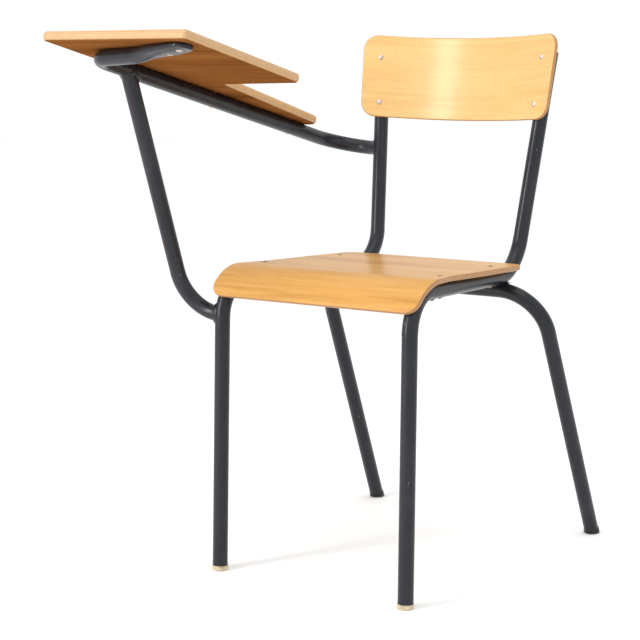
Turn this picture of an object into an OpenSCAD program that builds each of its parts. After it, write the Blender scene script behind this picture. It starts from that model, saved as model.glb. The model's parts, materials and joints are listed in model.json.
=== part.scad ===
// Student desk chair: a bent steel tube frame that carries a plywood seat, a plywood
// backrest and, on the sitter's right, a plywood writing tablet on its own arm.
// Millimetres. +Z is up, the sitter faces -Y, and the sitter's right is -X.

/* [Steel tube] */
// Outside diameter of the frame's tube
tube_d = 22; // [20:0.5:23]
// Wall thickness of the tube
tube_wall = 1.5; // [1.25:0.25:2]

/* [Legs] */
// Distance between the two front feet, centre to centre
front_foot_gap = 322; // [316:1:330]
// Distance between the two rear feet, centre to centre
rear_foot_gap = 402; // [394:1:410]
// Distance from the front feet back to the rear feet
foot_depth = 472; // [462:1:482]
// Height at which the front leg turns into the seat rail
knee_height = 426; // [420:1:432]
// Radius of the front knee, on the tube's centre line
knee_bend = 54; // [50:1:58]
// Radius of the rear leg's shoulder, on the tube's centre line
shoulder_bend = 68; // [62:1:74]

/* [Seat] */
// Thickness of the seat's plywood
seat_thickness = 8; // [7:0.5:9]
// Width of the seat across its front roll
seat_front_w = 350; // [344:1:356]
// Width of the seat across its rear edge
seat_rear_w = 312; // [306:1:318]
// How far the front roll hangs below the seat's top
roll_drop = 42; // [36:1:46]

/* [Backrest] */
// Height of the backrest, along its slope
back_h = 128; // [122:1:134]
// Width of the backrest along its top edge
back_top_w = 344; // [338:1:350]
// Width of the backrest along its bottom edge
back_bottom_w = 330; // [324:1:336]
// Thickness of the backrest's plywood
back_thickness = 6.5; // [6:0.5:8]
// Radius to which the backrest is moulded
back_curve = 410; // [380:5:460]

/* [Writing tablet] */
// Width of the writing surface, side to side
tablet_w = 251; // [243:1:257]
// Length of the wide writing surface, front to back
tablet_l = 250; // [240:1:260]
// Length of the whole board, with the arm rest
board_l = 544; // [530:1:550]
// Width of the arm rest at its rear end
arm_rest_w = 78; // [73:1:83]
// Thickness of the tablet's plywood
tablet_thickness = 13.5; // [12:0.5:16]
// Slope of the arm and the tablet, higher at the front
arm_pitch = 14.4; // [13:0.2:15.6]

/* [Hidden] */
$fn = 64;

LEFT = 1;
RIGHT = -1;
paint = "#34383f";
beech = "#c98f47";
rivet_metal = "#b9aaa2";
glide_plastic = "#d8c7a4";
cap_plastic = "#1d1e20";

tube_r = tube_d / 2;
bore_r = tube_r - tube_wall;
// A bend is drawn a hair fatter than its straights and laps over them, so that they join as one.
bend_swell = 0.16;
bend_lap = 0.3;
// From a tube's centre line to a board that lies on it
board_lift = tube_r + bend_swell;
// Play between two parts that touch
play = 0.05;
// Gap that a tube's coped end leaves round the tube that it is welded to, under the weld
cope_gap = 0.8;
// How far a weld stands out from the tubes that it joins
weld_bead = 2.4;

// ---- side frames, described on the sitter's left ----
front_leg_lean = 2.33;
front_leg_tuck = 0.26;
rail_fall = 2.25;
rail_rear_x = 124;
rail_rear_y = 359;
rear_bend = 64;
upright_lean = 10.5;
upright_splay = 4.4;
upright_top = 740;

front_foot = [front_foot_gap / 2, 0, 0];
front_corner = front_foot
    + knee_height * [-tan(front_leg_tuck), tan(front_leg_lean), 1];
rear_corner = [
    rail_rear_x,
    rail_rear_y,
    knee_height - (rail_rear_y - front_corner[1]) * tan(rail_fall)
];
upright_slope = [tan(upright_splay), tan(upright_lean), 1];
upright_end = rear_corner + (upright_top - rear_corner[2]) * upright_slope;
side_path = [front_foot, front_corner, rear_corner, upright_end];
side_bends = [0, knee_bend, rear_bend, 0];

// ---- rear leg arch, which passes under the two rails ----
arch_y = 312;
rear_leg_tuck = 1.23;
arch_sink = 2.5;
arch_height = rail_point(arch_y)[2] - tube_d + arch_sink;
rear_foot = [rear_foot_gap / 2, foot_depth, 0];
shoulder = [rear_foot[0] - arch_height * tan(rear_leg_tuck), arch_y, arch_height];
arch_path = [rear_foot, shoulder, flip(shoulder), flip(rear_foot)];
arch_bends = [0, shoulder_bend, shoulder_bend, 0];

// ---- front cross tube, under the seat ----
cross_tube_y = 84;

// ---- arm and its support, on the sitter's right ----
arm_x = -225;
arm_joint = [arm_x, -100, 724];
arm_rear_y = 425;
arm_weld_height = 592;
arm_rear_bend = 60;
arm_front_bend = 30;
arm_front_reach = 66;
// The arm's front run, under the tablet: its slant towards the front, and along it where
// pressing starts, two slices of the pressed bar with their thicknesses, and its tip
press_slant = 9.5;
press_start = 84;
press_bar_x = [112, 160];
press_thickness = [14, 11];
press_tip = 190;
press_nose = 7;
press_w = 32;
arm_dir = [0, -cos(arm_pitch), sin(arm_pitch)];
arm_weld = flip(upright_point(arm_weld_height));
arm_path = [
    arm_weld,
    arm_joint - arm_dir * (arm_rear_y - arm_joint[1]) / cos(arm_pitch),
    on_arm([0, -arm_front_reach, 0]),
    on_arm(on_run(press_start))
];
arm_bends = [0, arm_rear_bend, arm_front_bend, 0];
support_height = 375;
support_bend = 62;
leg_at_support = front_foot
    + support_height * [-tan(front_leg_tuck), tan(front_leg_lean), 1];
support_path = [
    flip(leg_at_support),
    [arm_x, leg_at_support[1], support_height],
    arm_joint
];
support_bends = [0, support_bend, 0];

// ---- plywood ----
roll_r = knee_bend + board_lift;
tablet_outer = -50;
tablet_front = -122.5;
// The inner corner between the wide part and the arm rest, past the arm rest's rear width
notch_step = [30, 13];
// The sheet's bottom edge, and the radius to which its corners are cut, in the backrest's frame
back_bottom = -23;
back_corner_r = 23;

// ---- rivets, feet and caps ----
rivet_r = 2.4;
rivet_hole_r = 2.5;
// Radius and height of each kind of rivet's domed end
back_head = [4.4, 2.2];
seat_head = [3.9, 1.2];
under_head = [5.5, 2.2];
tail = [4, 1.6];
// A countersunk head under the writing surface: its top's radius, its height and how far it is sunk
sink_r = 4.4;
sink_h = 2.2;
sink_depth = 0.1;
sink_slope = (sink_r - rivet_r) / sink_h;
seat_rivet_y = [104, 271];
back_rivet_z = [661, 730];
front_rivet_places = [[146, -84], [169, -94]];
front_rivet_grip = [10, 8];
arm_rivet_places = [[0, 20], [0, 190], [0, 380]];
glide_r = 11.9;
glide_h = 7;
front_dir = heading(side_path, 0);
rear_dir = heading(arch_path, 0);

// ---- the backrest's curve ----
// The sheet touches both uprights at both rows of rivets, and that sets its lean.
back_reach = back_curve + back_thickness + tube_r;
back_low = upright_point(back_rivet_z[0]);
back_high = upright_point(back_rivet_z[1]);
back_step = [back_high[1] - back_low[1], back_high[2] - back_low[2]];
back_lean = atan2(back_step[0], back_step[1])
    - asin((back_depth(back_high) - back_depth(back_low)) / norm(back_step));

// ---- the part's origin ----
// It is on the floor, in the middle of the chair's box: between the tablet's outer edge and
// the rear left foot, and between the tablet's front edge and the rear feet.
box_x = [arm_x + tablet_outer, foot_edge(rear_foot[0], rear_dir[0])];
box_y = [on_arm([0, tablet_front, board_lift])[1], foot_edge(foot_depth, rear_dir[1])];
chair_shift = [-(box_x[0] + box_x[1]) / 2, -(box_y[0] + box_y[1]) / 2, 0];

function unit(v) = v / norm(v);
function flip(p) = [-p[0], p[1], p[2]];
function mirrored(path) = [for (p = path) flip(p)];
function heading(path, i) = unit(path[i + 1] - path[i]);
function turn(path, i) = acos(heading(path, i - 1) * heading(path, i));
function setback(path, bends, i) =
    i == 0 || i == len(path) - 1 ? 0 : bends[i] * tan(turn(path, i) / 2);

// A point on the seat rail's straight centre line, on the sitter's left
function rail_point(y) =
    front_corner + (rear_corner - front_corner)
        * (y - front_corner[1]) / (rear_corner[1] - front_corner[1]);

// A point on an upright's centre line at a height
function upright_point(z) = rear_corner + (z - rear_corner[2]) * upright_slope;

// A point given in the arm's own frame: across, back along the slope, and up off the slope
function on_arm(p) = arm_joint + [
    p[0],
    p[1] * cos(arm_pitch) + p[2] * sin(arm_pitch),
    -p[1] * sin(arm_pitch) + p[2] * cos(arm_pitch)
];

// A point on the centre line of the arm's front run, in the arm's own frame
function on_run(along) =
    [along * cos(press_slant), -arm_front_reach - along * sin(press_slant), 0];

// The points of an outline whose corners are rounded, each to its own radius
function rounded(corners, radii, steps = 8) = [
    for (i = [0 : len(corners) - 1])
        let (
            n = len(corners),
            p = corners[i],
            a = unit(corners[(i + n - 1) % n] - p),
            b = unit(corners[(i + 1) % n] - p),
            half = acos(a * b) / 2,
            centre = p + unit(a + b) * radii[i] / sin(half),
            from = p + a * radii[i] / tan(half) - centre,
            to = p + b * radii[i] / tan(half) - centre
        )
        each radii[i] == 0 ? [p] : [
            for (k = [0 : steps])
                let (m = from * sin((180 - 2 * half) * (1 - k / steps))
                    + to * sin((180 - 2 * half) * k / steps))
                centre + unit(m) * radii[i]
        ]
];

// Stands children's Z axis along a direction, from a point.
module stand(p, z_dir) {
    z = unit(z_dir);
    side = abs(z[0]) < 0.7 ? [1, 0, 0] : [0, 1, 0];
    y = unit(cross(z, side));
    x = cross(y, z);
    multmatrix([
        [x[0], y[0], z[0], p[0]],
        [x[1], y[1], z[1], p[1]],
        [x[2], y[2], z[2], p[2]],
        [0, 0, 0, 1]
    ]) children();
}

module rod(from, to, r) {
    stand(from, to - from) cylinder(h = norm(to - from), r = r);
}

module ring(outer, inner) {
    difference() {
        circle(r = outer);
        circle(r = inner);
    }
}

// One bend of a tube, turning from heading d towards heading e at a corner
module bend(corner, d, e, radius) {
    angle = acos(d * e);
    lap = bend_lap / radius * 180 / PI;
    inward = unit(e - d * (d * e));
    start = corner - d * radius * tan(angle / 2);
    c = start + inward * radius;
    z = cross(-inward, d);
    multmatrix([
        [-inward[0], d[0], z[0], c[0]],
        [-inward[1], d[1], z[1], c[1]],
        [-inward[2], d[2], z[2], c[2]],
        [0, 0, 0, 1]
    ])
        rotate([0, 0, -lap])
            rotate_extrude(angle = angle + 2 * lap, $fn = 144)
                translate([radius, 0]) ring(tube_r + bend_swell, bore_r - bend_swell);
}

// A hollow tube along a path of corners, each with its own bend radius
module bent_tube(path, bends) {
    last = len(path) - 1;
    for (i = [0 : last - 1]) {
        d = heading(path, i);
        from = path[i] + d * (setback(path, bends, i) - (i == 0 ? 0 : bend_lap));
        to = path[i + 1] - d * (setback(path, bends, i + 1) - (i == last - 1 ? 0 : bend_lap));
        stand(from, d) linear_extrude(norm(to - from)) ring(tube_r, bore_r);
    }
    for (i = [1 : last - 1])
        bend(path[i], heading(path, i - 1), heading(path, i), bends[i]);
}

// The weld that runs round a branch tube where it meets a main tube
module weld_round(main_a, main_b, joint, branch_end) {
    difference() {
        intersection() {
            rod(main_a, main_b, tube_r + weld_bead + 0.4);
            rod(joint, branch_end, tube_r + weld_bead);
        }
        rod(main_a, main_b, tube_r + play);
        rod(joint, branch_end, tube_r + play);
    }
}

// A drilled hole through a rail and what lies on it
module seat_rivet_holes(side) {
    for (y = seat_rivet_y)
        translate([side * rail_point(y)[0], y, rail_point(y)[2]])
            rotate([-rail_fall, 0, 0]) cylinder(h = 60, r = rivet_hole_r, center = true);
}

// ---- side tubes ----
module side_tube(side) {
    path = side == LEFT ? side_path : mirrored(side_path);
    difference() {
        bent_tube(trimmed_start(path, glide_h), side_bends);
        seat_rivet_holes(side);
        back_rivet_places(side) cylinder(h = 60, r = rivet_hole_r, center = true);
    }
}

// The path with its first point moved up its leg by a length, to make room for the glide
function trimmed_start(path, by) = [
    for (i = [0 : len(path) - 1]) i == 0 ? path[0] + heading(path, 0) * by : path[i]
];
function trimmed_end(path, by) = [
    for (i = [0 : len(path) - 1])
        i == len(path) - 1 ? path[i] - heading(path, i - 1) * by : path[i]
];

module right_side_tube() { color(paint) shifted() side_tube(RIGHT); }
module left_side_tube() { color(paint) shifted() side_tube(LEFT); }

module rear_leg_arch() {
    color(paint) shifted() difference() {
        bent_tube(trimmed_end(trimmed_start(arch_path, glide_h), glide_h), arch_bends);
        for (side = [LEFT, RIGHT]) rail_core(side);
    }
}

module front_cross_tube() {
    p = rail_point(cross_tube_y);
    color(paint) shifted() difference() {
        stand(flip(p), [1, 0, 0]) linear_extrude(2 * p[0]) ring(tube_r, bore_r);
        for (side = [LEFT, RIGHT]) rail_core(side);
    }
}

// The solid round of a rail's straight part, for cutting tubes that meet it
module rail_core(side, r = tube_r + play) {
    a = rail_point(40);
    b = rail_point(330);
    rod(side == LEFT ? a : flip(a), side == LEFT ? b : flip(b), r);
}

// ---- arm ----
module arm_tube() {
    color(paint) shifted() difference() {
        union() {
            bent_tube(arm_path, arm_bends);
            arm_frame() pressed_end();
        }
        upright_core();
        arm_frame() tablet_rivet_holes();
    }
}

module upright_core() {
    rod(flip(upright_point(500)), flip(upright_point(700)), tube_r + play);
}

module arm_frame() {
    translate(arm_joint) rotate([-arm_pitch, 0, 0]) children();
}

// The tube's end, pressed into a flat bar with a thin round nose, so that the board lies on it
module pressed_end() {
    translate([0, -arm_front_reach, 0]) rotate([0, 0, -press_slant]) {
        hull() {
            translate([press_start - 2, 0, 0])
                rotate([0, 90, 0]) cylinder(h = 2, r = tube_r - 0.3, $fn = 32);
            pressed_bar(0);
        }
        hull() {
            pressed_bar(0);
            pressed_bar(1);
        }
        hull() {
            pressed_bar(1);
            translate([press_tip - press_w / 2, 0, board_lift - press_nose])
                cylinder(h = press_nose - play, r = press_w / 2, $fn = 32);
        }
    }
}

// A slice across the pressed bar, whose top is against the board
module pressed_bar(i) {
    half = press_w / 2 - (i == 0 ? 2 : 0);
    down = press_thickness[i];
    translate([press_bar_x[i], 0, board_lift - play]) rotate([90, 0, 90]) linear_extrude(0.5)
        polygon(rounded([[-half, -down], [half, -down], [half, 0], [-half, 0]], [3, 3, 1, 1], 4));
}

module arm_support_tube() {
    color(paint) shifted() difference() {
        bent_tube(support_path, support_bends);
        rod(flip(front_foot) + [0, 0, 1], flip(front_corner), tube_r + cope_gap);
        rod(arm_joint - arm_dir * 60, arm_joint + arm_dir * 36, tube_r + cope_gap);
    }
}

// ---- welds ----
module arch_weld(side) {
    near = [side * rail_point(arch_y)[0], arch_y, arch_height];
    difference() {
        intersection() {
            rail_core(side, tube_r + weld_bead);
            rod(near - [16, 0, 0], near + [16, 0, 0], tube_r + weld_bead - 0.4);
            translate(near) cylinder(h = tube_d, r = 13);
        }
        rail_core(side);
        rod(near - [20, 0, 0], near + [20, 0, 0], tube_r + play);
    }
}
module right_arch_weld() { color(paint) shifted() arch_weld(RIGHT); }
module left_arch_weld() { color(paint) shifted() arch_weld(LEFT); }

module cross_weld() {
    a = rail_point(cross_tube_y - 24);
    b = rail_point(cross_tube_y + 24);
    p = rail_point(cross_tube_y);
    weld_round(a, b, p - [0.5, 0, 0], p - [30, 0, 0]);
}
module right_cross_weld() { color(paint) shifted() mirror([1, 0, 0]) cross_weld(); }
module left_cross_weld() { color(paint) shifted() cross_weld(); }

module support_leg_weld() {
    d = unit(flip(front_corner) - flip(front_foot));
    p = flip(leg_at_support);
    color(paint) shifted() weld_round(p - d * 24, p + d * 24, p, p - [30, 0, 0]);
}
module support_arm_weld() {
    d = heading(support_path, 1);
    color(paint) shifted()
        weld_round(arm_joint - arm_dir * 30, arm_joint + arm_dir * 30, arm_joint, arm_joint - d * 40);
}
module arm_upright_weld() {
    d = unit(flip(upright_slope));
    color(paint) shifted()
        weld_round(arm_weld - d * 24, arm_weld + d * 24, arm_weld,
            arm_weld + heading(arm_path, 0) * 30);
}

// ---- plywood ----
module seat_shell() {
    color(beech) shifted() difference() {
        intersection() {
            seat_section();
            seat_plan();
            seat_front_view();
        }
        for (side = [LEFT, RIGHT]) seat_rivet_holes(side);
    }
}

// The seat's side section, swept straight across
module seat_section() {
    knee = roll_centre();
    outer = roll_r + seat_thickness;
    start = asin((outer - roll_drop) / outer);
    rear = 340;
    run = (rear - knee[1]) / cos(rail_fall);
    across = seat_front_w + 20;
    translate([-across / 2, knee[1], knee[2]]) rotate([90, 0, 90])
        linear_extrude(across) rotate(-rail_fall) polygon(concat(
            [for (k = [0 : 24]) outer * on_circle(180 - start - (90 - start) * k / 24)],
            [[run, outer], [run, roll_r]],
            [for (k = [0 : 24]) roll_r * on_circle(90 + (90 - start) * k / 24)]
        ));
}
function on_circle(a) = [cos(a), sin(a)];

// The middle of the front knee's bend, in side view
function roll_centre() =
    let (
        d = heading(side_path, 0),
        e = heading(side_path, 1),
        start = front_corner - d * setback(side_path, side_bends, 1)
    )
    start + unit(e - d * (d * e)) * knee_bend;

module seat_plan() {
    f = seat_front_w / 2;
    r = seat_rear_w / 2;
    translate([0, 0, knee_height - 100]) linear_extrude(200)
        polygon(rounded([
            [f, -30], [f, 55], [f - 12, 110], [r + 5, 240], [r, 330],
            [-r, 330], [-r - 5, 240], [12 - f, 110], [-f, 55], [-f, -30]
        ], [0, 90, 150, 300, 22, 22, 300, 150, 90, 0]));
}

module seat_front_view() {
    f = seat_front_w / 2;
    low = roll_centre()[2] + roll_r + seat_thickness - roll_drop;
    translate([0, 400, 0]) rotate([90, 0, 0]) linear_extrude(450)
        polygon(rounded([
            [-f, low + 120], [-f, low - 3], [f, low - 3], [f, low + 120]
        ], [0, 18, 18, 0]));
}

// How far in front of a point on an upright the axis of the backrest's curve lies
function back_depth(p) = sqrt(pow(back_reach, 2) - pow(p[0], 2));
function back_axis_by(p) =
    [0, p[1] - back_depth(p) * cos(back_lean), p[2] + back_depth(p) * sin(back_lean)];

// The backrest's frame: Z up along the sheet, on the axis of its moulded curve, level with
// the lower rivets
module back_frame() {
    translate(back_axis_by(back_low)) rotate([-back_lean, 0, 0]) children();
}

module backrest_shell() {
    top = back_bottom + back_h;
    color(beech) shifted() difference() {
        back_frame() intersection() {
            difference() {
                translate([0, 0, back_bottom - 20])
                    cylinder(h = back_h + 40, r = back_curve + back_thickness, $fn = 360);
                translate([0, 0, back_bottom - 21])
                    cylinder(h = back_h + 42, r = back_curve, $fn = 360);
            }
            rotate([90, 0, 0]) translate([0, 0, -back_reach])
                linear_extrude(back_reach - 200) polygon(rounded([
                    [-back_bottom_w / 2, back_bottom], [back_bottom_w / 2, back_bottom],
                    [back_top_w / 2, top], [-back_top_w / 2, top]
                ], [for (i = [0 : 3]) back_corner_r]));
        }
        for (side = [LEFT, RIGHT])
            back_rivet_places(side) cylinder(h = 60, r = rivet_hole_r, center = true);
    }
}

// Places children at an upright's two backrest rivets: Z points out of the sheet's front,
// from the tube's centre line.
module back_rivet_places(side) {
    for (p = [back_low, back_high]) {
        at = side == LEFT ? p : flip(p);
        stand(at, back_axis_by(p) - at) children();
    }
}

module tablet_board() {
    edge = tablet_outer + tablet_w;
    wide = tablet_front + tablet_l;
    end = tablet_front + board_l;
    rest = tablet_outer + arm_rest_w;
    color(beech) shifted() arm_frame() difference() {
        translate([0, 0, board_lift]) linear_extrude(tablet_thickness)
            polygon(rounded([
                [tablet_outer, tablet_front], [edge, tablet_front], [edge, wide],
                [rest + notch_step[0], wide + notch_step[1]], [rest, end], [tablet_outer, end]
            ], [6, 5, 8, 10, 20, 20]));
        tablet_rivet_holes();
        countersinks();
    }
}

// ---- rivets ----
// Its head rests on z = 0, and its shank goes down through the grip to its tail.
module rivet(grip, head) {
    dome(head);
    translate([0, 0, -grip]) cylinder(h = grip + 0.1, r = rivet_r);
    translate([0, 0, -grip]) mirror([0, 0, 1]) dome(tail);
}

// Its countersunk head lies just below z = 0, so that the writing surface stays flat.
module flush_rivet(grip, under) {
    neck = -sink_depth - sink_h;
    translate([0, 0, neck]) cylinder(h = sink_h, r1 = rivet_r, r2 = sink_r);
    translate([0, 0, -grip]) cylinder(h = grip + neck + 0.1, r = rivet_r);
    translate([0, 0, -grip]) mirror([0, 0, 1]) dome(under);
}

module dome(size) {
    sphere_r = (pow(size[0], 2) + pow(size[1], 2)) / (2 * size[1]);
    intersection() {
        translate([0, 0, size[1] - sphere_r]) sphere(r = sphere_r);
        cylinder(h = size[1] + 1, r = size[0] + 1);
    }
}

module seat_rivets() {
    color(rivet_metal) shifted()
        for (side = [LEFT, RIGHT], y = seat_rivet_y)
            translate([side * rail_point(y)[0], y, rail_point(y)[2]])
                rotate([-rail_fall, 0, 0]) translate([0, 0, board_lift + seat_thickness])
                    rivet(seat_thickness + board_lift + tube_r, seat_head);
}

module backrest_rivets() {
    color(rivet_metal) shifted()
        for (side = [LEFT, RIGHT])
            back_rivet_places(side) translate([0, 0, tube_r + back_thickness - 0.05])
                rivet(back_thickness + tube_d, back_head);
}

module tablet_rivet_holes() {
    for (p = concat(front_rivet_places, arm_rivet_places))
        translate(concat(p, -30)) cylinder(h = 80, r = rivet_hole_r);
}

module countersinks() {
    reach = sink_depth + sink_h + 1;
    for (p = concat(front_rivet_places, arm_rivet_places))
        translate(concat(p, board_lift + tablet_thickness + 1 - reach))
            cylinder(h = reach, r1 = rivet_hole_r, r2 = rivet_hole_r + reach * sink_slope);
}

module tablet_front_rivets() {
    color(rivet_metal) shifted() arm_frame()
        for (i = [0, 1])
            translate(concat(front_rivet_places[i], board_lift + tablet_thickness))
                flush_rivet(front_rivet_grip[i] + tablet_thickness, under_head);
}

module tablet_arm_rivets() {
    color(rivet_metal) shifted() arm_frame()
        for (p = arm_rivet_places)
            translate(concat(p, board_lift + tablet_thickness))
                flush_rivet(tablet_thickness + board_lift + tube_r, tail);
}

// ---- feet and caps ----
// Where a glide's sole ends along one axis, for a leg that leans by that much along it
function foot_edge(at, lean) = at + glide_r / sqrt(1 - lean * lean);

// A glide on a tube's end: a head below the tube, a plug in its bore, and a sole on the floor
module foot(foot_point, leg_dir) {
    color(glide_plastic) shifted() difference() {
        union() {
            stand(foot_point - leg_dir * 8, leg_dir) cylinder(h = glide_h + 8 - play, r = glide_r);
            stand(foot_point, leg_dir) cylinder(h = glide_h + 16, r = bore_r - play);
        }
        translate([foot_point[0] - 40, foot_point[1] - 40, -40]) cube([80, 80, 40]);
    }
}
module front_right_foot() { foot(flip(front_foot), flip(front_dir)); }
module front_left_foot() { foot(front_foot, front_dir); }
module rear_right_foot() { foot(flip(rear_foot), flip(rear_dir)); }
module rear_left_foot() { foot(rear_foot, rear_dir); }

module upright_cap(side) {
    d = unit(upright_slope);
    color(cap_plastic) shifted()
        stand(side == LEFT ? upright_end : flip(upright_end), side == LEFT ? d : flip(d)) {
            translate([0, 0, play]) dome([tube_r, 3]);
            translate([0, 0, -14]) cylinder(h = 14.2, r = bore_r - play);
        }
}
module right_upright_cap() { upright_cap(RIGHT); }
module left_upright_cap() { upright_cap(LEFT); }

// Moves children from the chair's own middle plane and front feet to the part's origin
module shifted() { translate(chair_shift) children(); }

right_side_tube();
left_side_tube();
rear_leg_arch();
front_cross_tube();
arm_tube();
arm_support_tube();
right_arch_weld();
left_arch_weld();
right_cross_weld();
left_cross_weld();
support_leg_weld();
support_arm_weld();
arm_upright_weld();
seat_shell();
backrest_shell();
tablet_board();
seat_rivets();
backrest_rivets();
tablet_front_rivets();
tablet_arm_rivets();
right_upright_cap();
left_upright_cap();
front_right_foot();
front_left_foot();
rear_right_foot();
rear_left_foot();
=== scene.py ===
"""The looks of the student desk chair: varnished beech boards on a painted steel tube frame.

Metres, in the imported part's frame. Places on the chair are given from the chair's own middle
plane, its front feet and the floor, and chair() moves them to the frame's origin.
"""
import json
import math

import bmesh
import bpy
from mathutils import Matrix, Vector, noise


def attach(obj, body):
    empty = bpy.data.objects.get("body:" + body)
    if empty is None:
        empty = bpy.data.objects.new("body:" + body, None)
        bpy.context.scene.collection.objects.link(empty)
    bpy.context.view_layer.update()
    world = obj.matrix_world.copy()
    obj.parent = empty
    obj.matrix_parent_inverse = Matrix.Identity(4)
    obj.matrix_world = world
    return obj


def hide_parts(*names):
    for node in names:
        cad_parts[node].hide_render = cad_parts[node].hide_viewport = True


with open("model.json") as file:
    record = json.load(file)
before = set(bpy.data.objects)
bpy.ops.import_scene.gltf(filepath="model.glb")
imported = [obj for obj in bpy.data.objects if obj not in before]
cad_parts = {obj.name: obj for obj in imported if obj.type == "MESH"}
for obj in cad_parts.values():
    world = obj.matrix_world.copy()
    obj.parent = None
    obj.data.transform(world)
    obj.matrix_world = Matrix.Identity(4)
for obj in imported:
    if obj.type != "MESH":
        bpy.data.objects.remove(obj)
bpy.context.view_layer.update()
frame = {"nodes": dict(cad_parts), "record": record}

NODES = frame["nodes"]

# ---- sizes shared with the part's source ----
TUBE_R = 0.011
BOARD_LIFT = 0.01116
ARM_PITCH = math.radians(14.4)
ARM_JOINT = Vector((-0.225, -0.100, 0.724))
ARM_PATH = [
    Vector((-0.137806, 0.392254, 0.592)),
    Vector((-0.225, 0.425, 0.589203)),
    Vector((-0.225, -0.163926, 0.740414)),
    Vector((-0.142152, -0.177355, 0.743862)),
]
ARM_BENDS = [0.060, 0.030]
UPRIGHT_SLOPE = Vector((-0.0769458, 0.185339, 1)).normalized()
FRONT_LEG_SLOPE = Vector((0.00453409, 0.0406545, 0.999163))
SUPPORT_FOOT = Vector((-0.159298, 0.0152582, 0.375))
# The pressed front end: its slant, where it starts and ends along its own length, how far the
# squeeze, the widening and the thin nose take to come in, and its half widths and thicknesses
ARM_FRONT = -0.066
PRESS_SLANT = math.radians(9.5)
PRESS_START = 0.084
PRESS_TIP = 0.190
GRIP_RUN = 0.040
BAR_START, BAR_RUN = 0.112, 0.048
NOSE_START, NOSE_RUN = 0.152, 0.036
BAR_HALF_W, BAR_WIDER = 0.0140, 0.0020
BAR_HALF_T, BAR_THINNER, NOSE_THINNER = 0.0070, 0.0015, 0.0020
BAR_PLAY = 0.00005
SEAT_THICKNESS = 0.008
SEAT_HALF_W = 0.175
SEAT_RIM_R = 0.0028
SEAT_ROLL_R = 0.06516
SEAT_ROLL_CENTRE = Vector((0, 0.068815, 0.369936))
SEAT_FALL = math.radians(2.25)
SEAT_ROLL_TURN = math.radians(64.8)
BACK_THICKNESS = 0.0065
BACK_LOW_W, BACK_HIGH_W = 0.330, 0.344
BACK_BOTTOM, BACK_TOP = -0.023, 0.105
BACK_CORNER_R = 0.023
BACK_RIM_R = 0.0024
BACK_CURVE = 0.410
BACK_AXIS = Vector((0, 0.0111191, 0.745253))
BACK_LEAN = math.radians(12.0726)
TABLET_THICKNESS = 0.0135
TABLET_RIM_R = 0.0052
# The drawn tablet's top lies this much under the CAD one, so that its sunk rivet heads show
SUNK = 0.00015


soles = {mount["name"]: Vector(mount["pos_m"]) for mount in frame["record"]["mounts"]}
SHIFT = (soles["front_left_foot_sole"] + soles["front_right_foot_sole"]) / 2


def chair(point):
    """A point given from the chair's middle plane, front feet and floor, in the part's frame."""
    return point + SHIFT


# ---- finishes ----
class Channel:
    """One output of a finish's nodes, so that shader maths is written as Python."""

    def __init__(self, finish, socket):
        self.finish = finish
        self.socket = socket

    def maths(self, operation, first, second=0.0):
        return self.finish.node("Math", {"operation": operation}, {0: first, 1: second})

    def __add__(self, other):
        return self.maths("ADD", self, other)

    def __radd__(self, other):
        return self.maths("ADD", other, self)

    def __sub__(self, other):
        return self.maths("SUBTRACT", self, other)

    def __rsub__(self, other):
        return self.maths("SUBTRACT", other, self)

    def __mul__(self, other):
        return self.maths("MULTIPLY", self, other)

    def fraction(self):
        return self.maths("FRACT", self)

    def above(self, level, softness):
        """0 below a level, 1 above it, with a ramp of that width between."""
        return self.finish.node(
            "MapRange",
            {"clamp": True},
            {"Value": self, "From Min": level, "From Max": level + softness},
        )


class Finish:
    """A material made from nodes round one Principled shader."""

    def __init__(self, name, constants):
        self.material = bpy.data.materials.new(name)
        self.material.use_nodes = True
        self.tree = self.material.node_tree
        self.shader = self.tree.nodes["Principled BSDF"]
        for socket, value in constants.items():
            self.shader.inputs[socket].default_value = value

    def node(self, kind, settings, sockets, output=0):
        made = self.tree.nodes.new("ShaderNode" + kind)
        for name, value in settings.items():
            if name == "stops":
                ramp = made.color_ramp.elements
                while len(ramp) < len(value):
                    ramp.new(1.0)
                for stop, (place, colour) in zip(ramp, value):
                    stop.position = place
                    stop.color = (*colour, 1)
            else:
                setattr(made, name, value)
        for name, value in sockets.items():
            self.feed(made.inputs[name], value)
        return Channel(self, made.outputs[output])

    def feed(self, socket, value):
        if isinstance(value, Channel):
            self.tree.links.new(value.socket, socket)
        else:
            socket.default_value = value

    def place(self):
        return self.node("TexCoord", {}, {}, 3)

    def sheet(self):
        """Across, along and through a board, before it is moulded."""
        return self.node("Attribute", {"attribute_name": "sheet"}, {}, 1)

    def speckle(self, where, stretch, detail=3.0, distortion=0.0, turn=(0, 0, 0)):
        """Noise with so many features to the metre along each axis."""
        scaled = self.node("Mapping", {}, {"Vector": where, "Scale": stretch, "Rotation": turn})
        return self.node(
            "TexNoise",
            {},
            {"Vector": scaled, "Scale": 1.0, "Detail": detail, "Distortion": distortion},
        )

    def ramp(self, value, stops):
        return self.node("ValToRGB", {"stops": stops}, {0: value})

    def mix(self, amount, first, second):
        sockets = {0: amount}
        for key, colour in ((6, first), (7, second)):
            sockets[key] = colour if isinstance(colour, Channel) else (*colour, 1)
        return self.node("Mix", {"data_type": "RGBA"}, sockets, 2)

    def finish(self, colour, roughness, height, strength, distance):
        self.feed(self.shader.inputs["Base Color"], colour)
        self.feed(self.shader.inputs["Roughness"], roughness)
        bump = self.node(
            "Bump", {}, {"Strength": strength, "Distance": distance, "Height": height}
        )
        self.feed(self.shader.inputs["Normal"], bump)
        return self.material


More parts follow.
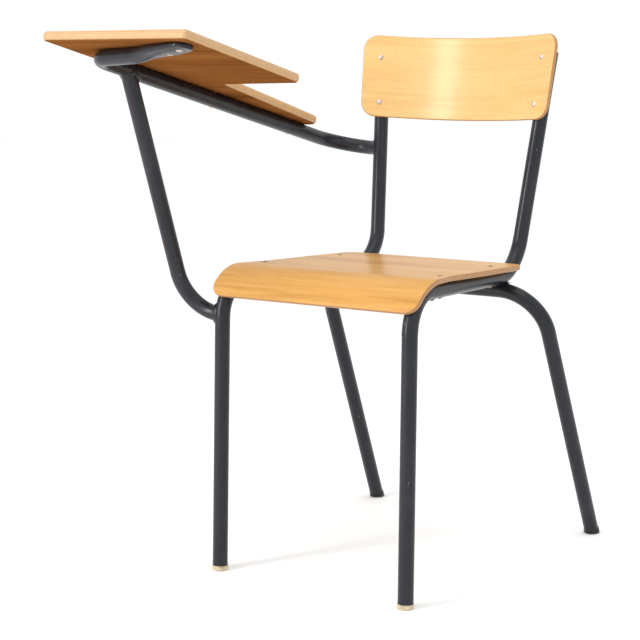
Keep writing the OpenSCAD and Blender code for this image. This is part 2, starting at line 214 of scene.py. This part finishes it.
def paint(name, lumps):
    """Dark blue-grey gloss paint on steel, brushed on, with small chips and rubbed patches."""
    coat = Finish(name, {"Coat Weight": 0.22, "Coat Roughness": 0.16, "IOR": 1.32})
    where = coat.place()
    cloud = coat.speckle(where, (9, 9, 9), 4)
    grime = coat.speckle(where, (60, 60, 26), 5)
    nick = coat.speckle(where, (210, 210, 150), 2).above(0.73, 0.03)
    rubbed = coat.speckle(where, (34, 34, 34), 6).above(0.68, 0.12)
    peel = coat.speckle(where, (420, 420, 420), 2)
    tone = coat.ramp(
        cloud * 0.6 + grime * 0.4,
        [(0.32, (0.007, 0.008, 0.011)), (0.52, (0.012, 0.013, 0.018)), (0.72, (0.020, 0.022, 0.030))],
    )
    worn = coat.mix(rubbed * 0.35, tone, (0.085, 0.080, 0.078))
    colour = coat.mix(nick * 0.7, worn, (0.19, 0.16, 0.14))
    roughness = 0.26 + grime * 0.16 + rubbed * 0.12
    return coat.finish(colour, roughness, peel * 0.25 + cloud * lumps - nick * 0.4, 0.35, 0.0006)


def veneer(name, deep, middle_tone, pale, varnish, gloss):
    """Rotary-cut beech under varnish: its grain runs across the board, with short dark flecks."""
    wood = Finish(
        name,
        {"Coat Weight": varnish, "Coat Roughness": gloss, "Specular IOR Level": varnish, "IOR": 1.4},
    )
    sheet = wood.sheet()
    figure = wood.speckle(sheet, (2.2, 26, 8), 3, 0.8)
    grain = wood.speckle(sheet, (9, 330, 60), 5)
    fleck = wood.speckle(sheet, (150, 1300, 500), 1).above(0.62, 0.07)
    vessel = wood.speckle(sheet, (26, 900, 300), 3).above(0.60, 0.10)
    stain = wood.speckle(sheet, (7, 9, 9), 5).above(0.60, 0.20)
    scratch = wood.speckle(sheet, (420, 16, 20), 2, 0.4, (0, 0, 0.5)).above(0.70, 0.03)
    tone = wood.ramp(
        figure * 0.62 + grain * 0.38, [(0.30, deep), (0.50, middle_tone), (0.70, pale)]
    )
    flecked = wood.mix(fleck * 0.30 + vessel * 0.16, tone, tuple(0.55 * c for c in deep))
    stained = wood.mix(stain * 0.22, flecked, tuple(0.75 * c for c in deep))
    colour = wood.mix(scratch * 0.20, stained, tuple(0.5 * c for c in deep))
    roughness = 0.30 + grain * 0.12 + stain * 0.12 + scratch * 0.15
    height = grain * 0.5 - fleck * 0.25 - scratch * 0.3 + figure * 0.4
    return wood.finish(colour, roughness, height, 0.25, 0.0004)


def ply_edge(name, pale, dark, layer):
    """The cut edge of plywood: face-grain layers and darker end-grain layers in turn."""
    wood = Finish(name, {"Coat Weight": 0.25, "Coat Roughness": 0.25, "IOR": 1.48})
    sheet = wood.sheet()
    through = wood.node("SeparateXYZ", {}, {0: sheet}, 2)
    wander = wood.speckle(sheet, (14, 14, 5), 3)
    stack = (through * (1 / layer) + wander * 0.35).fraction()
    end_grain = stack.above(0.52, 0.10) * (1.0 - stack.above(0.90, 0.10))
    glue = stack.above(0.48, 0.02) * (1.0 - stack.above(0.54, 0.02))
    pores = wood.speckle(sheet, (1500, 1500, 900), 2).above(0.52, 0.10)
    fibre = wood.speckle(sheet, (60, 60, 1500), 4)
    knock = wood.speckle(sheet, (90, 90, 160), 3).above(0.70, 0.04)
    tone = wood.ramp(fibre, [(0.30, tuple(0.80 * c for c in pale)), (0.60, pale)])
    layered = wood.mix(end_grain * (0.40 + pores * 0.35), tone, dark)
    glued = wood.mix(glue * 0.35, layered, tuple(0.5 * c for c in dark))
    colour = wood.mix(knock * 0.55, glued, tuple(0.35 * c for c in dark))
    roughness = 0.46 + end_grain * 0.12 + fibre * 0.08
    height = fibre * 0.4 - end_grain * (0.3 + pores * 0.4) - knock * 0.8
    return wood.finish(colour, roughness, height, 0.35, 0.0005)


def rivet_alloy(name, tone):
    """Soft aluminium rivets, dulled and scuffed."""
    metal = Finish(name, {"Metallic": 0.85, "IOR": 1.6})
    where = metal.place()
    tarnish = metal.speckle(where, (260, 260, 260), 4)
    scuff = metal.speckle(where, (1400, 1400, 300), 3)
    colour = metal.ramp(tarnish, [(0.30, tuple(0.55 * c for c in tone)), (0.62, tone)])
    roughness = 0.30 + tarnish * 0.25 + scuff * 0.10
    return metal.finish(colour, roughness, scuff, 0.2, 0.0003)


def moulded(name, pale, dirt, rough):
    """Moulded plastic with dirt rubbed in and fine scratches."""
    plastic = Finish(name, {"IOR": 1.46})
    where = plastic.place()
    grime = plastic.speckle(where, (120, 120, 210), 5)
    grit = plastic.speckle(where, (900, 900, 900), 2)
    colour = plastic.mix(grime.above(0.50, 0.22) * 0.7, pale, dirt)
    return plastic.finish(colour, rough + grime * 0.2, grit + grime * 0.6, 0.3, 0.0003)


FRAME_PAINT = paint("frame_paint", 0.5)
WELD_PAINT = paint("weld_paint", 1.6)
SEAT_FACE = veneer(
    "seat_veneer", (0.42, 0.205, 0.054), (0.59, 0.315, 0.092), (0.68, 0.385, 0.135), 0.09, 0.14
)
BACK_FACE = veneer(
    "backrest_veneer", (0.60, 0.350, 0.118), (0.70, 0.440, 0.165), (0.77, 0.510, 0.215), 0.36, 0.17
)
TABLET_FACE = veneer(
    "tablet_veneer", (0.44, 0.215, 0.060), (0.56, 0.300, 0.095), (0.64, 0.360, 0.135), 0.40, 0.16
)
# The tablet's underside: a much darker copy of the tablet veneer with no varnish sheen, painted shade
# for the shade under the board
TABLET_PAINTED_SHADE_UNDERSIDE = veneer(
    "tablet_underside_painted_shade", (0.13, 0.045, 0.012), (0.22, 0.082, 0.022), (0.31, 0.125, 0.038), 0.0, 0.40
)
SEAT_EDGE = ply_edge("seat_edge", (0.46, 0.235, 0.090), (0.25, 0.105, 0.035), 0.0026)
BACK_EDGE = ply_edge("backrest_edge", (0.50, 0.260, 0.095), (0.27, 0.115, 0.038), 0.0022)
TABLET_EDGE = ply_edge("tablet_edge", (0.60, 0.375, 0.180), (0.42, 0.210, 0.080), 0.0030)
RIVETS = rivet_alloy("rivet_aluminium", (0.72, 0.60, 0.54))
SEAT_RIVETS = rivet_alloy("rivet_dulled", (0.30, 0.20, 0.14))
CREAM = moulded("cream_plastic", (0.60, 0.50, 0.35), (0.20, 0.15, 0.10), 0.42)
BLACK = moulded("black_plastic", (0.022, 0.022, 0.022), (0.06, 0.05, 0.045), 0.38)


# A board's face counts as its top or its underside where it is at least this level
FLAT = 0.75


# ---- pieces ----
def add_piece(name, bm, finishes, stands_for):
    """Makes an object of a bmesh, and has it ride with the chair in place of a CAD node."""
    mesh = bpy.data.meshes.new(name)
    bm.to_mesh(mesh)
    bm.free()
    for finish in finishes:
        mesh.materials.append(finish)
    piece = bpy.data.objects.new(name, mesh)
    bpy.context.scene.collection.objects.link(piece)
    mesh.set_sharp_from_angle(angle=math.radians(50))
    even = piece.modifiers.new("even_shading", "WEIGHTED_NORMAL")
    even.keep_sharp = True
    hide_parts(stands_for)
    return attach(piece, "root")


def board(corners, radii, thickness, edge_r):
    """A flat board on z = 0 whose corners are cut to radii and whose rim is rounded over."""
    bm = bmesh.new()
    bm.faces.new([bm.verts.new((x, y, 0)) for x, y in corners])
    for vert, radius in zip(bm.verts[:], radii):
        to_a, to_b = (edge.other_vert(vert).co - vert.co for edge in vert.link_edges)
        bmesh.ops.bevel(
            bm,
            geom=[vert],
            offset=radius / math.tan(to_a.angle(to_b) / 2),
            offset_type="OFFSET",
            segments=8,
            profile=0.5,
            affect="VERTICES",
            material=-1,
        )
    raised = bmesh.ops.extrude_face_region(bm, geom=bm.faces[:])["geom"]
    top = [part for part in raised if isinstance(part, bmesh.types.BMVert)]
    bmesh.ops.translate(bm, verts=top, vec=(0, 0, thickness))
    bmesh.ops.recalc_face_normals(bm, faces=bm.faces)
    rim = [e for e in bm.edges if abs(e.verts[0].co.z - e.verts[1].co.z) < 1e-6]
    bmesh.ops.bevel(
        bm,
        geom=rim,
        offset=edge_r,
        offset_type="OFFSET",
        segments=5,
        profile=0.5,
        affect="EDGES",
        clamp_overlap=True,
        material=-1,
    )
    return bm


def cut_across(bm, axis, places):
    """Cuts a board on planes across an axis, so that it can bend there."""
    normal = Vector((0, 0, 0))
    normal[axis] = 1
    for place in places:
        bmesh.ops.bisect_plane(
            bm,
            geom=bm.verts[:] + bm.edges[:] + bm.faces[:],
            plane_co=normal * place,
            plane_no=normal,
        )


def mould(bm, shape, under=0):
    """Marks a board's faces and edge, keeps its flat coordinates for the grain, and shapes it.

    The finish under the board is its first one unless another is named; the tablet names a much
    darker one there, which is painted shade.
    """
    flat = bm.verts.layers.float_vector.new("sheet")
    for face in bm.faces:
        face.smooth = True
        if face.normal.z > FLAT:
            face.material_index = 0
        else:
            face.material_index = under if face.normal.z < -FLAT else 1
    for vert in bm.verts:
        vert[flat] = vert.co
        vert.co = shape(vert.co)


def steps(start, end, size):
    count = math.ceil((end - start) / size)
    return [start + (end - start) * i / count for i in range(1, count)]


def arm_place(point):
    """From the arm's own frame, which slopes with the arm, to the part's frame."""
    return chair(ARM_JOINT + Matrix.Rotation(-ARM_PITCH, 3, "X") @ Vector(point))


# ---- seat ----
ROLL_LENGTH = (SEAT_ROLL_R + SEAT_THICKNESS / 2) * SEAT_ROLL_TURN


def seat_shape(flat):
    """Rolls the front of the flat seat down over the knees of the side tubes."""
    r = SEAT_ROLL_R + flat.z
    past = flat.y - ROLL_LENGTH
    turn = max(0.0, -past) / (SEAT_ROLL_R + SEAT_THICKNESS / 2)
    place = Vector((flat.x, max(0.0, past) - r * math.sin(turn), r * math.cos(turn)))
    return chair(SEAT_ROLL_CENTRE + Matrix.Rotation(-SEAT_FALL, 3, "X") @ place)


def seat_along(y):
    """How far along the flat seat a place at that distance behind the front feet is."""
    return ROLL_LENGTH + (y - SEAT_ROLL_CENTRE.y) / math.cos(SEAT_FALL)


def half_seat():
    return [
        (SEAT_HALF_W, 0.0),
        (SEAT_HALF_W, seat_along(0.055)),
        (0.163, seat_along(0.110)),
        (0.161, seat_along(0.240)),
        (0.156, seat_along(0.330)),
    ]


outline = half_seat() + [(-x, y) for x, y in reversed(half_seat())]
corner_r = [0.020, 0.090, 0.150, 0.300, 0.022]
seat = board(outline, corner_r + corner_r[::-1], SEAT_THICKNESS, SEAT_RIM_R)
cut_across(seat, 1, steps(0.0, ROLL_LENGTH, 0.004) + [ROLL_LENGTH])
cut_across(seat, 0, steps(-SEAT_HALF_W, SEAT_HALF_W, 0.05))
mould(seat, seat_shape)
add_piece("seat", seat, [SEAT_FACE, SEAT_EDGE], "seat_shell")


# ---- backrest ----
def back_shape(flat):
    """Bends the flat backrest round its axis, which lies in front of it."""
    r = BACK_CURVE + BACK_THICKNESS - flat.z
    turn = flat.x / (BACK_CURVE + BACK_THICKNESS / 2)
    place = Vector((r * math.sin(turn), r * math.cos(turn), flat.y))
    return chair(BACK_AXIS + Matrix.Rotation(-BACK_LEAN, 3, "X") @ place)


def round_curve(across):
    """The length along the backrest's curve that covers half a straight width."""
    middle_r = BACK_CURVE + BACK_THICKNESS / 2
    return middle_r * math.asin(across / 2 / middle_r)


low, high = round_curve(BACK_LOW_W), round_curve(BACK_HIGH_W)
backrest = board(
    [(-low, BACK_BOTTOM), (low, BACK_BOTTOM), (high, BACK_TOP), (-high, BACK_TOP)],
    [BACK_CORNER_R] * 4,
    BACK_THICKNESS,
    BACK_RIM_R,
)
cut_across(backrest, 0, steps(-high, high, 0.008))
mould(backrest, back_shape)
add_piece("backrest", backrest, [BACK_FACE, BACK_EDGE], "backrest_shell")

# ---- writing tablet ----
OUTER, INNER, FRONT, WIDE_END, END, REST = -0.050, 0.201, -0.1225, 0.1275, 0.4215, 0.028
tablet = board(
    [
        (OUTER, FRONT),
        (INNER, FRONT),
        (INNER, WIDE_END),
        (REST + 0.030, WIDE_END + 0.013),
        (REST, END),
        (OUTER, END),
    ],
    [0.008, 0.007, 0.008, 0.010, 0.020, 0.020],
    TABLET_THICKNESS - SUNK,
    TABLET_RIM_R,
)
# Faces that look down take the third finish, the darker underside that paints the shade under the
# tablet
mould(tablet, lambda flat: arm_place((flat.x, flat.y, flat.z + BOARD_LIFT)), under=2)
add_piece(
    "tablet", tablet, [TABLET_FACE, TABLET_EDGE, TABLET_PAINTED_SHADE_UNDERSIDE], "tablet_board"
)


# ---- arm tube ----
def signed_power(value, power):
    return math.copysign(abs(value) ** power, value)


def eased(value):
    value = min(1.0, max(0.0, value))
    return value * value * (3 - 2 * value)


def pressed(local):
    """Flattens the round tube's end into a bar against the board, with a thin round nose."""
    turn = Matrix.Rotation(-PRESS_SLANT, 3, "Z")
    start = Vector((0, ARM_FRONT, 0))
    along, across, up = turn.transposed() @ (local - start)
    if along <= PRESS_START + 1e-6:
        return local
    grip = eased((along - PRESS_START) / GRIP_RUN)
    spread = eased((along - BAR_START) / BAR_RUN)
    nose = eased((along - NOSE_START) / NOSE_RUN)
    half_w = BAR_HALF_W + BAR_WIDER * spread
    swing = max(0.0, along - (PRESS_TIP - half_w)) / half_w
    half_w *= math.sqrt(max(0.0004, 1 - swing * swing))
    half_t = BAR_HALF_T - BAR_THINNER * spread - NOSE_THINNER * nose
    bar = Vector(
        (
            along,
            half_w * signed_power(across / TUBE_R, 0.85),
            BOARD_LIFT - BAR_PLAY - half_t + half_t * signed_power(up / TUBE_R, 0.50),
        )
    )
    return start + turn @ Vector((along, across, up)).lerp(bar, grip)


def ring_of(bm, centre, heading, radius, segments):
    turn = heading.to_track_quat("Z", "Y").to_matrix().to_4x4()
    made = bmesh.ops.create_circle(
        bm, segments=segments, radius=radius, matrix=Matrix.Translation(centre) @ turn
    )
    return made["verts"]


def edges_among(verts):
    group = set(verts)
    return list({e for v in verts for e in v.link_edges if e.other_vert(v) in group})


def run_on(bm, verts, by, count):
    """Draws a ring of vertices on along a straight, in equal steps."""
    for _ in range(count):
        made = bmesh.ops.extrude_edge_only(bm, edges=edges_among(verts))["geom"]
        verts = [part for part in made if isinstance(part, bmesh.types.BMVert)]
        bmesh.ops.translate(bm, verts=verts, vec=by / count)
    return verts


def arm_tube():
    bm = bmesh.new()
    headings = [(b - a).normalized() for a, b in zip(ARM_PATH, ARM_PATH[1:])]
    at = ARM_PATH[0] + headings[0] * 0.004
    ring = ring_of(bm, at, headings[0], TUBE_R, 40)
    for corner, radius, before, after in zip(ARM_PATH[1:], ARM_BENDS, headings, headings[1:]):
        angle = before.angle(after)
        start = corner - before * radius * math.tan(angle / 2)
        ring = run_on(bm, ring, start - at, 1)
        inward = (after - before * before.dot(after)).normalized()
        made = bmesh.ops.spin(
            bm,
            geom=ring + edges_among(ring),
            cent=start + inward * radius,
            axis=before.cross(inward),
            angle=angle,
            steps=24,
            use_duplicate=False,
        )["geom_last"]
        ring = [part for part in made if isinstance(part, bmesh.types.BMVert)]
        at = corner + after * radius * math.tan(angle / 2)
    ring = run_on(bm, ring, ARM_PATH[3] - at, 1)
    ring = run_on(bm, ring, headings[2] * (PRESS_TIP - PRESS_START - 0.0002), 68)
    bmesh.ops.contextual_create(bm, geom=edges_among(ring))
    slope = Matrix.Rotation(-ARM_PITCH, 3, "X")
    for vert in bm.verts:
        local = slope.transposed() @ (vert.co - ARM_JOINT)
        vert.co = chair(ARM_JOINT + slope @ pressed(local))
    bmesh.ops.remove_doubles(bm, verts=bm.verts, dist=1e-6)
    bmesh.ops.recalc_face_normals(bm, faces=bm.faces)
    for face in bm.faces:
        face.smooth = True
    return bm


add_piece("writing_arm", arm_tube(), [FRAME_PAINT], "arm_tube")


# ---- weld beads that show ----
def weld_bead(name, stands_for, on_main, main_dir, branch_dir, reach, lump):
    """A weld drawn round a branch tube: a hollow curve from its wall down to the main tube."""
    bm = bmesh.new()
    side = branch_dir.cross(main_dir).normalized()
    over = side.cross(branch_dir)
    loops = []
    for step in range(8):
        t = step / 7
        ring = bmesh.ops.create_circle(bm, segments=64, radius=1)["verts"]
        for vert in ring:
            out = (over * vert.co.x + side * vert.co.y).normalized()
            wall = out * TUBE_R
            a = branch_dir - main_dir * branch_dir.dot(main_dir)
            b = wall - main_dir * wall.dot(main_dir)
            gap = b.dot(b) - TUBE_R**2
            root = math.sqrt(max(0.0, a.dot(b) ** 2 - a.dot(a) * gap))
            joint = wall + branch_dir * (root - a.dot(b)) / a.dot(a)
            on_branch = joint + branch_dir * reach - out * 0.0002
            spread = joint + out * reach
            along = main_dir * spread.dot(main_dir)
            on_tube = along + (spread - along).normalized() * (TUBE_R - 0.0002)
            fill = joint + (out + branch_dir) * reach * 0.14
            point = on_branch * (1 - t) ** 2 + fill * 2 * t * (1 - t) + on_tube * t**2
            swell = noise.noise((point + on_main) * 170) + 0.6 * noise.noise(point * 420)
            bulge = lump * (0.7 + swell) * 4 * t * (1 - t)
            vert.co = chair(on_main + point + (out + branch_dir).normalized() * bulge)
        loops.append(edges_among(ring))
    for first, second in zip(loops, loops[1:]):
        bmesh.ops.bridge_loops(bm, edges=first + second)
    bmesh.ops.recalc_face_normals(bm, faces=bm.faces)
    for face in bm.faces:
        face.smooth = True
    add_piece(name, bm, [WELD_PAINT], stands_for)


ARM_DIR = Vector((0, -math.cos(ARM_PITCH), math.sin(ARM_PITCH)))
SUPPORT_UP = (ARM_JOINT - Vector((ARM_JOINT.x, SUPPORT_FOOT.y, SUPPORT_FOOT.z))).normalized()
weld_bead("arm_bead", "support_arm_weld", ARM_JOINT, ARM_DIR, -SUPPORT_UP, 0.0075, 0.0004)
weld_bead(
    "leg_bead", "support_leg_weld", SUPPORT_FOOT, FRONT_LEG_SLOPE, Vector((-1, 0, 0)), 0.0045, 0.0011
)
weld_bead(
    "upright_bead",
    "arm_upright_weld",
    ARM_PATH[0],
    UPRIGHT_SLOPE,
    (ARM_PATH[1] - ARM_PATH[0]).normalized(),
    0.0045,
    0.0010,
)


# ---- glides ----
def glide(node, finish):
    """A foot's glide with its sole's rim worn round."""
    bm = bmesh.new()
    bm.from_mesh(NODES[node].data)
    bmesh.ops.remove_doubles(bm, verts=bm.verts, dist=1e-6)
    bmesh.ops.dissolve_limit(bm, angle_limit=0.01, verts=bm.verts, edges=bm.edges)
    rim = [
        e
        for e in bm.edges
        if max(v.co.z for v in e.verts) < 0.0002 and len(e.link_faces) == 2
    ]
    bmesh.ops.bevel(
        bm,
        geom=rim,
        offset=0.0026,
        offset_type="OFFSET",
        segments=5,
        profile=0.5,
        affect="EDGES",
        clamp_overlap=True,
        material=-1,
    )
    for face in bm.faces:
        face.smooth = True
        face.material_index = 0
    add_piece(node.replace("foot", "glide"), bm, [finish], node)


glide("front_right_foot", CREAM)
glide("front_left_foot", CREAM)
glide("rear_right_foot", BLACK)
glide("rear_left_foot", BLACK)

# ---- the CAD pieces that stay ----
FINISH_OF = {
    "seat_rivets": SEAT_RIVETS,
    "backrest_rivets": RIVETS,
    "tablet_front_rivets": RIVETS,
    "tablet_arm_rivets": RIVETS,
    "right_upright_cap": BLACK,
    "left_upright_cap": BLACK,
    "right_arch_weld": WELD_PAINT,
    "left_arch_weld": WELD_PAINT,
    "right_cross_weld": WELD_PAINT,
    "left_cross_weld": WELD_PAINT,
    "right_side_tube": FRAME_PAINT,
    "left_side_tube": FRAME_PAINT,
    "rear_leg_arch": FRAME_PAINT,
    "front_cross_tube": FRAME_PAINT,
    "arm_support_tube": FRAME_PAINT,
}
for node, finish in FINISH_OF.items():
    NODES[node].material_slots[0].material = finish


# ---- floor, light and camera ----
def studio_floor():
    ground = Finish("studio_floor", {"IOR": 1.3})
    where = ground.place()
    soft = ground.speckle(where, (2, 2, 2), 3)
    colour = ground.ramp(soft, [(0.3, (0.945, 0.945, 0.940)), (0.7, (0.965, 0.965, 0.960))])
    material = ground.finish(colour, 0.75 + soft * 0.1, soft, 0.02, 0.001)
    bm = bmesh.new()
    bmesh.ops.create_grid(bm, x_segments=4, y_segments=4, size=9)
    mesh = bpy.data.meshes.new("studio_floor")
    bm.to_mesh(mesh)
    bm.free()
    mesh.materials.append(material)
    ground_piece = bpy.data.objects.new("studio_floor", mesh)
    bpy.context.scene.collection.objects.link(ground_piece)


def soft_light(name, place, target, width, height, watts, tint):
    lamp = bpy.data.lights.new(name, "AREA")
    lamp.shape = "RECTANGLE"
    lamp.size = width
    lamp.size_y = height
    lamp.energy = watts
    lamp.color = tint
    holder = bpy.data.objects.new(name, lamp)
    holder.matrix_world = Matrix.LocRotScale(
        Vector(place), (Vector(place) - Vector(target)).to_track_quat("Z", "Y"), None
    )
    bpy.context.scene.collection.objects.link(holder)


studio_floor()
world = bpy.data.worlds.new("studio")
world.use_nodes = True
backdrop = world.node_tree.nodes["Background"]
backdrop.inputs["Color"].default_value = (0.98, 0.99, 1.0, 1)
backdrop.inputs["Strength"].default_value = 1.06
bpy.context.scene.world = world
bpy.context.scene.view_settings.view_transform = "Standard"
soft_light("window", (-1.21, -2.50, 1.30), (0.0, 0.15, 0.62), 0.50, 2.0, 46, (1.0, 0.96, 0.90))
soft_light("sky", (0.3, -0.6, 2.9), (0.0, 0.0, 0.4), 2.2, 2.2, 18, (1.0, 0.98, 0.96))
soft_light("bounce", (2.4, -0.4, 1.1), (0.0, 0.0, 0.5), 1.4, 1.8, 3, (0.92, 0.95, 1.0))


def aim_camera():
    """The camera stands in front and to the sitter's left, above the seat, turned a hair."""
    azimuth, height, roll = (math.radians(a) for a in (35.76, 9.11, -0.62))
    back = Vector(
        (
            math.sin(azimuth) * math.cos(height),
            -math.cos(azimuth) * math.cos(height),
            math.sin(height),
        )
    )
    level = Vector((math.cos(azimuth), math.sin(azimuth), 0))
    up = back.cross(level)
    right = level * math.cos(roll) + up * math.sin(roll)
    up = up * math.cos(roll) - level * math.sin(roll)
    camera = bpy.data.cameras.new("camera")
    camera.lens = 98.7
    camera.sensor_width = 36
    camera.clip_end = 50
    stand = bpy.data.objects.new("camera", camera)
    turn = Matrix((right, up, back)).transposed()
    stand.matrix_world = Matrix.Translation(chair(Vector((1.4057, -1.9193, 0.76345)))) @ turn.to_4x4()
    bpy.context.scene.collection.objects.link(stand)
    bpy.context.scene.camera = stand


aim_camera()
